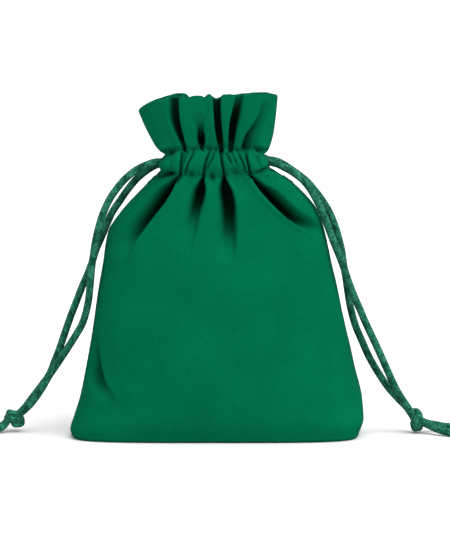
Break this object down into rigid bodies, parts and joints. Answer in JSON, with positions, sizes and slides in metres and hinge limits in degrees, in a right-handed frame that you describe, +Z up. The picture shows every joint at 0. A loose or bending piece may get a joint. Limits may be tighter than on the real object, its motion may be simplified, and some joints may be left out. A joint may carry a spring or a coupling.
{
  "type": "drawstring gift sack",
  "caption": "Small green cloth gift sack standing at its filled shape, with a gathered neck, a ruffle and braided drawcords knotted at both sides.",
  "frame": {"origin": "on the ground, under the middle of the sack's base", "axes": "+Z up, -Y towards the front of the sack, +X to the right as seen from the front"},
  "size_m": [0.1774, 0.041, 0.1144],
  "materials": {
    "cloth": "napped, matt, soft sheen",
    "cloth_inside": "plain woven back of the cloth, matt",
    "thread": "spun polyester thread, satin",
    "cord": "braided, heathered, satin"
  },
  "bodies": {
    "sack": {"front_panel": "cloth", "back_panel": "cloth", "front_hem_facing": "cloth_inside", "back_hem_facing": "cloth_inside", "left_side_seam": "cloth_inside", "right_side_seam": "cloth_inside", "bottom_seam": "cloth_inside", "front_casing_lower_stitches": "thread", "front_casing_upper_stitches": "thread", "back_casing_lower_stitches": "thread", "back_casing_upper_stitches": "thread", "left_slit_bartack": "thread", "right_slit_bartack": "thread"},
    "left_cord_loop": {"left_cord_casing_run": "cord"},
    "left_cord_ends": {"left_cord_front_leg": "cord", "left_cord_back_leg": "cord", "left_cord_knot": "cord", "left_cord_front_tail": "cord", "left_cord_back_tail": "cord"},
    "right_cord_loop": {"right_cord_casing_run": "cord"},
    "right_cord_ends": {"right_cord_front_leg": "cord", "right_cord_back_leg": "cord", "right_cord_knot": "cord", "right_cord_front_tail": "cord", "right_cord_back_tail": "cord"}
  },
  "joints": [
    {"name": "left_cord_pull", "type": "slide", "parent": "sack", "child": "left_cord_loop", "axis": [-1, 0, 0], "range_m": [0, 0.004]},
    {"name": "left_cord_lift", "type": "hinge", "parent": "left_cord_loop", "child": "left_cord_ends", "pos_m": [-0.0205, 0, 0.0919], "axis": [0, 1, 0], "range_deg": [0, 70]},
    {"name": "right_cord_pull", "type": "slide", "parent": "sack", "child": "right_cord_loop", "axis": [1, 0, 0], "range_m": [0, 0.004]},
    {"name": "right_cord_lift", "type": "hinge", "parent": "right_cord_loop", "child": "right_cord_ends", "pos_m": [0.0205, 0, 0.0926], "axis": [0, -1, 0], "range_deg": [0, 70]}
  ]
}
